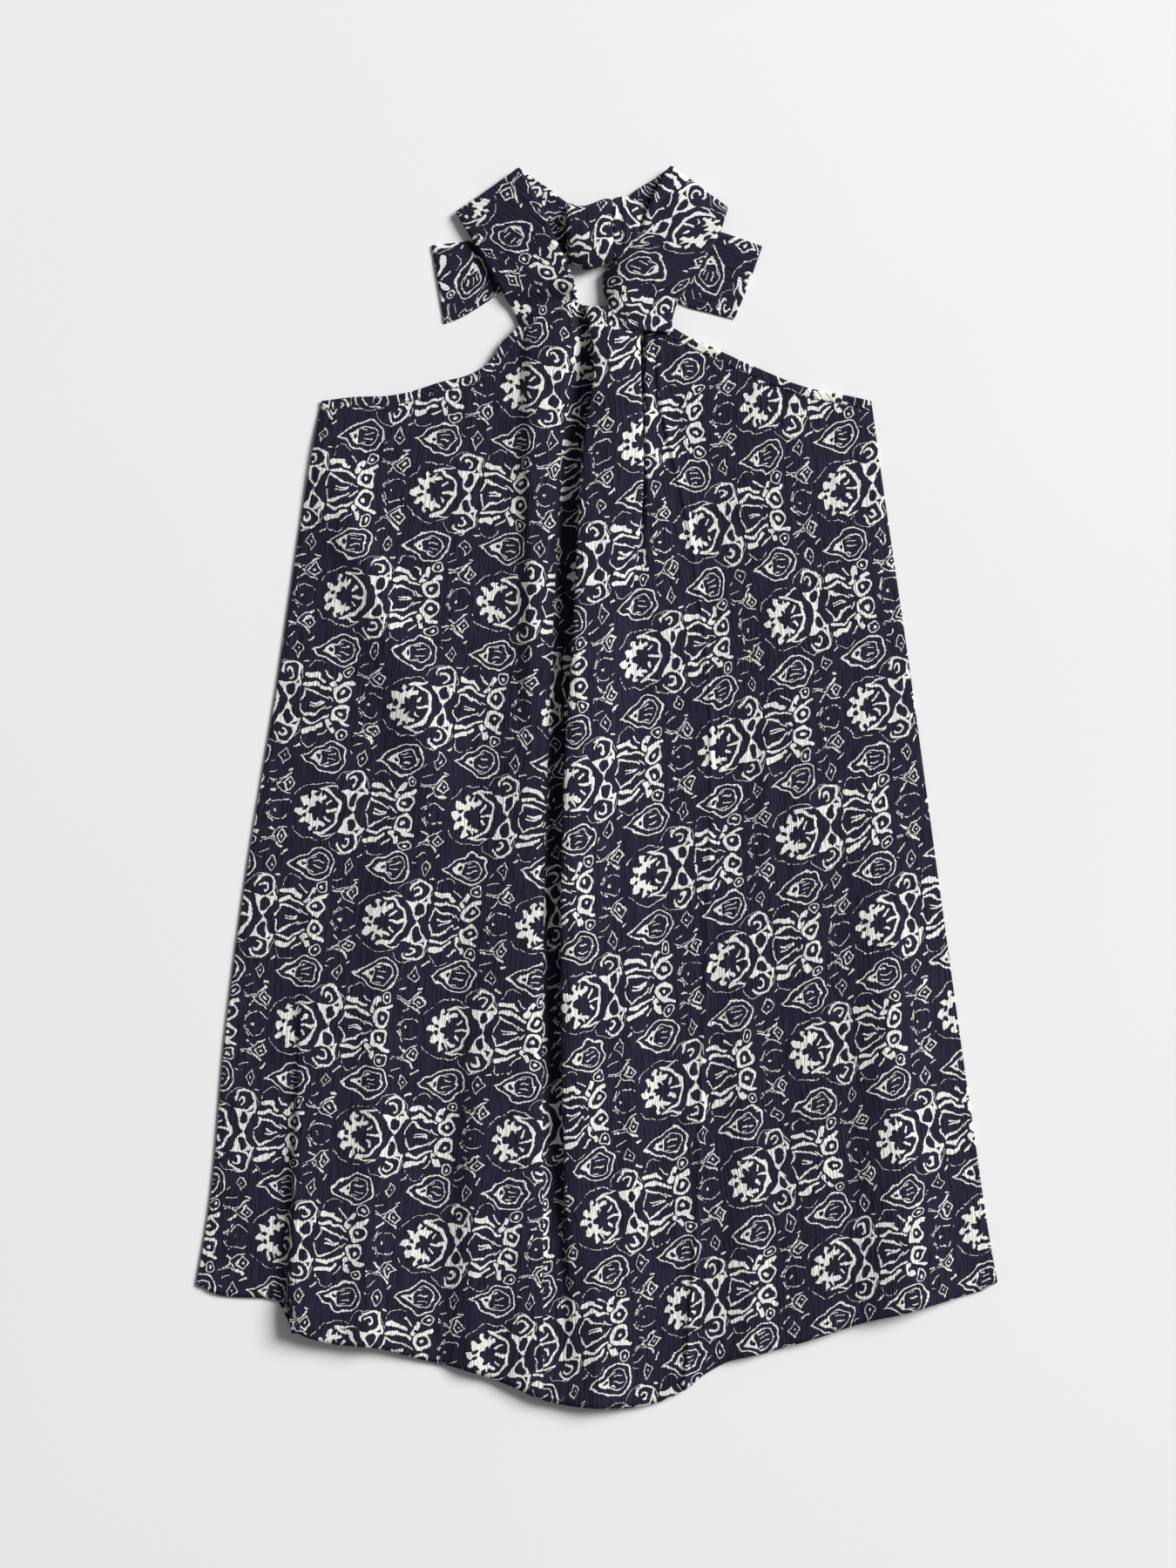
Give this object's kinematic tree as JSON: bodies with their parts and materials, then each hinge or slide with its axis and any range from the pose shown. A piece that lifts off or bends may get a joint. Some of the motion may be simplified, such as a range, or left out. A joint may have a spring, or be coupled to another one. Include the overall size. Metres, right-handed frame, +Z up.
{
  "type": "halter-neck dress",
  "caption": "Short A-line halter-neck dress in printed crinkle crepe, laid flat, with wide ties knotted behind the neck.",
  "frame": {"origin": "centre of the outline of the dress, on the surface it lies on", "axes": "+Y from the hem to the neck, +X to the right of someone looking down at the front, +Z up off the surface"},
  "size_m": [0.624, 0.9676, 0.0148],
  "materials": {
    "print_crepe": "matte",
    "label_satin": "satin"
  },
  "bodies": {
    "dress": {"front_panel": "print_crepe", "back_panel": "print_crepe", "left_side_seam": "print_crepe", "right_side_seam": "print_crepe", "care_label": "label_satin", "front_hem": "print_crepe", "back_hem": "print_crepe", "left_armhole_binding": "print_crepe", "right_armhole_binding": "print_crepe", "back_top_binding": "print_crepe", "neckline_band": "print_crepe", "left_strap_base": "print_crepe", "right_strap_base": "print_crepe"},
    "neck_loop": {"left_strap": "print_crepe", "right_strap": "print_crepe", "left_knot_turn": "print_crepe", "right_knot_turn": "print_crepe"},
    "left_tail": {"left_tie_tail": "print_crepe"},
    "right_tail": {"right_tie_tail": "print_crepe"}
  },
  "joints": [
    {"name": "neck_loop_fold", "type": "hinge", "parent": "dress", "child": "neck_loop", "pos_m": [0, 0.36, 0.0071], "axis": [1, 0, 0], "range_deg": [0, 90]},
    {"name": "left_tail_swing", "type": "hinge", "parent": "neck_loop", "child": "left_tail", "pos_m": [-0.014, 0.426, 0.0008], "axis": [0, 0, 1], "range_deg": [-40, 20]},
    {"name": "right_tail_swing", "type": "hinge", "parent": "neck_loop", "child": "right_tail", "pos_m": [0.024, 0.427, 0.0008], "axis": [0, 0, 1], "range_deg": [-20, 40]}
  ]
}
